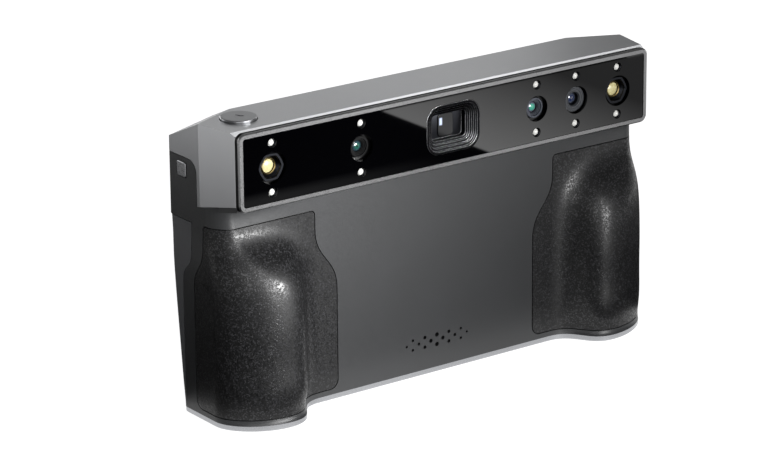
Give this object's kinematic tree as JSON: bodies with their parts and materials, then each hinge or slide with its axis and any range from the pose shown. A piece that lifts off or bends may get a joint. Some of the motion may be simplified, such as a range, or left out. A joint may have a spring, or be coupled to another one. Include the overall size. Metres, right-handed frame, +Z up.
{
  "type": "three-d scanner",
  "caption": "Hand-held three-d scanner: metal head with cameras, lights and a projector behind black glass, rubber-skinned twin grips and a flip-up rear touch screen.",
  "frame": {"origin": "middle of the underside of the bottom plate", "axes": "+Z up, -Y the way the cameras look, +X along the width"},
  "size_m": [0.204, 0.0482, 0.1182],
  "materials": {
    "head_metal": "bead-blasted, silver anodised",
    "plate_metal": "satin, silver anodised",
    "trim_metal": "satin",
    "button_metal": "turned, silver anodised",
    "frame_metal": "bare, milled",
    "front_plastic": "fine spark texture",
    "rear_plastic": "fine spark texture",
    "bezel_plastic": "matte",
    "grip_rubber": "moulded, stippled",
    "front_glass": "black, polished",
    "light_plastic": "milky",
    "board": "circuit board with solder mask",
    "chip": "moulded",
    "camera_metal": "black anodised",
    "emitter_lens": "polished",
    "camera_lens": "coated, polished",
    "projector_glass": "polished",
    "screen_plastic": "fine spark texture",
    "touch_glass": "black, polished",
    "display": "polished",
    "cell": "laminate pouch",
    "mesh": "woven dust cloth",
    "steel": "turned",
    "bush_brass": "turned"
  },
  "bodies": {
    "body": {"head_housing": "head_metal", "bottom_plate": "plate_metal", "bezel_trim": "trim_metal", "optics_bracket": "frame_metal", "mid_frame": "frame_metal", "heat_spreader": "frame_metal", "projector_body": "frame_metal", "front_shell": "front_plastic", "rear_shell": "rear_plastic", "front_bezel": "bezel_plastic", "projector_hood": "bezel_plastic", "grip_pad_right": "grip_rubber", "grip_pad_left": "grip_rubber", "front_glass": "front_glass", "fill_leds": "light_plastic", "light_board": "board", "scan_switch": "board", "power_switch": "board", "charge_board": "board", "main_board": "board", "processor": "chip", "speaker": "chip", "outer_left_unit": "camera_metal", "outer_right_unit": "camera_metal", "near_left_camera": "camera_metal", "near_right_camera": "camera_metal", "colour_camera": "camera_metal", "outer_left_lens": "emitter_lens", "outer_right_lens": "emitter_lens", "near_left_lens": "camera_lens", "near_right_lens": "camera_lens", "colour_lens": "camera_lens", "projector_lens": "projector_glass", "battery_pack": "cell", "speaker_mesh": "mesh", "hinge_pin_right": "steel", "hinge_pin_left": "steel", "hinge_washers": "steel", "bottom_screws": "steel", "rear_screws": "steel", "charge_socket": "steel", "tripod_bush": "bush_brass"},
    "flip_screen": {"screen_housing": "screen_plastic", "touch_glass": "touch_glass", "display_panel": "display", "display_board": "board", "hinge_bush_right": "bush_brass", "hinge_bush_left": "bush_brass"},
    "scan_button": {"scan_button": "button_metal"},
    "power_button": {"power_button": "button_metal"}
  },
  "joints": [
    {"name": "screen_hinge", "type": "hinge", "parent": "body", "child": "flip_screen", "pos_m": [0, 0.02015, 0.097], "axis": [1, 0, 0], "range_deg": [0, 180]},
    {"name": "scan_press", "type": "slide", "parent": "body", "child": "scan_button", "axis": [0, 0, -1], "range_m": [0, 0.0008], "stiffness_N_per_m": 1500},
    {"name": "power_press", "type": "slide", "parent": "body", "child": "power_button", "axis": [1, 0, 0], "range_m": [0, 0.0006], "stiffness_N_per_m": 1500}
  ]
}
